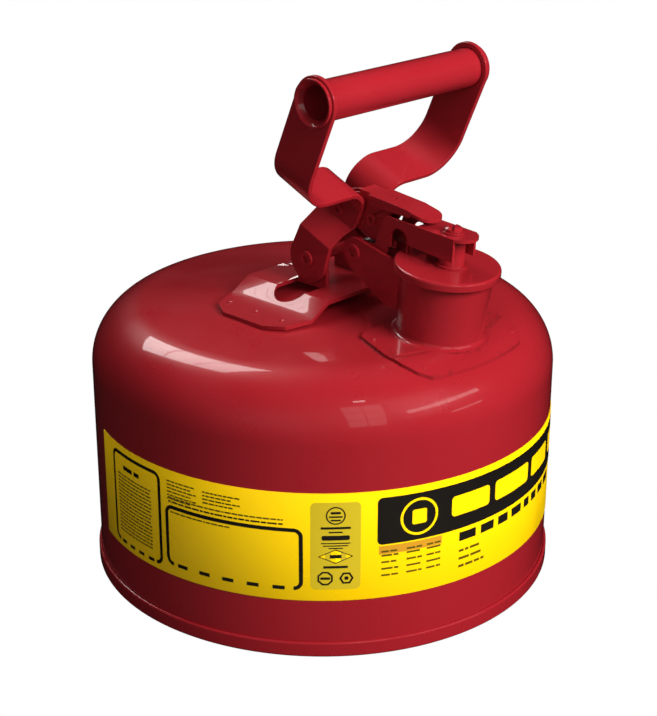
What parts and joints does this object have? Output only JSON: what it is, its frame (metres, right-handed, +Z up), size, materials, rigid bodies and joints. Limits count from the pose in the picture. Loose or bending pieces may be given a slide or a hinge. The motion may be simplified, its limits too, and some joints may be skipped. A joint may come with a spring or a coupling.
{
  "type": "safety gas can",
  "caption": "Round red steel safety can with a swinging carrying handle that lifts a self-closing spring lid over a short filler neck with a flame arrester.",
  "frame": {"origin": "centre of the can's bottom, on the plane it stands on", "axes": "+X from the can's centre towards the filler neck, +Y along the handle's grip, +Z up"},
  "size_m": [0.2415, 0.2414, 0.2709],
  "materials": {
    "red_enamel": "gloss",
    "label_print": "gloss",
    "bare_steel": "satin",
    "spring_steel": "satin",
    "seal_rubber": "matte"
  },
  "bodies": {
    "can": {"can_body": "red_enamel", "bottom_pan": "red_enamel", "label_band": "label_print", "neck_flange": "red_enamel", "filler_neck": "red_enamel", "arrester_collar": "bare_steel", "arrester_screen": "bare_steel", "arrester_end_cap": "bare_steel", "base_bracket": "red_enamel", "hinge_bracket": "red_enamel", "swing_pin": "red_enamel", "pin_washers": "bare_steel", "lid_pin": "red_enamel", "lid_spring": "spring_steel"},
    "handle": {"left_arm": "red_enamel", "right_arm": "red_enamel", "grip_tube": "red_enamel", "handle_carrier": "red_enamel", "press_tongue": "red_enamel", "handle_rivets": "red_enamel"},
    "lid": {"lid_lever": "red_enamel", "lid_screw": "red_enamel", "screw_washer": "red_enamel", "lid_post": "red_enamel", "lid_cap": "red_enamel", "lid_gasket": "seal_rubber", "gasket_retainer": "bare_steel", "retainer_rivet": "bare_steel"}
  },
  "joints": [
    {"name": "handle_swing", "type": "hinge", "parent": "can", "child": "handle", "pos_m": [0.0065, 0, 0.16658], "axis": [0, -1, 0], "range_deg": [0, 45]},
    {"name": "lid_open", "type": "hinge", "parent": "can", "child": "lid", "pos_m": [0.0325, 0, 0.17458], "axis": [0, -1, 0], "range_deg": [0, 63], "stiffness_Nm_per_rad": 0.6, "springref_deg": -34.38, "deforming": ["lid_spring"]}
  ],
  "couplings": [
    {"joint": "lid_open", "follows": "handle_swing", "ratio": 1.4}
  ]
}
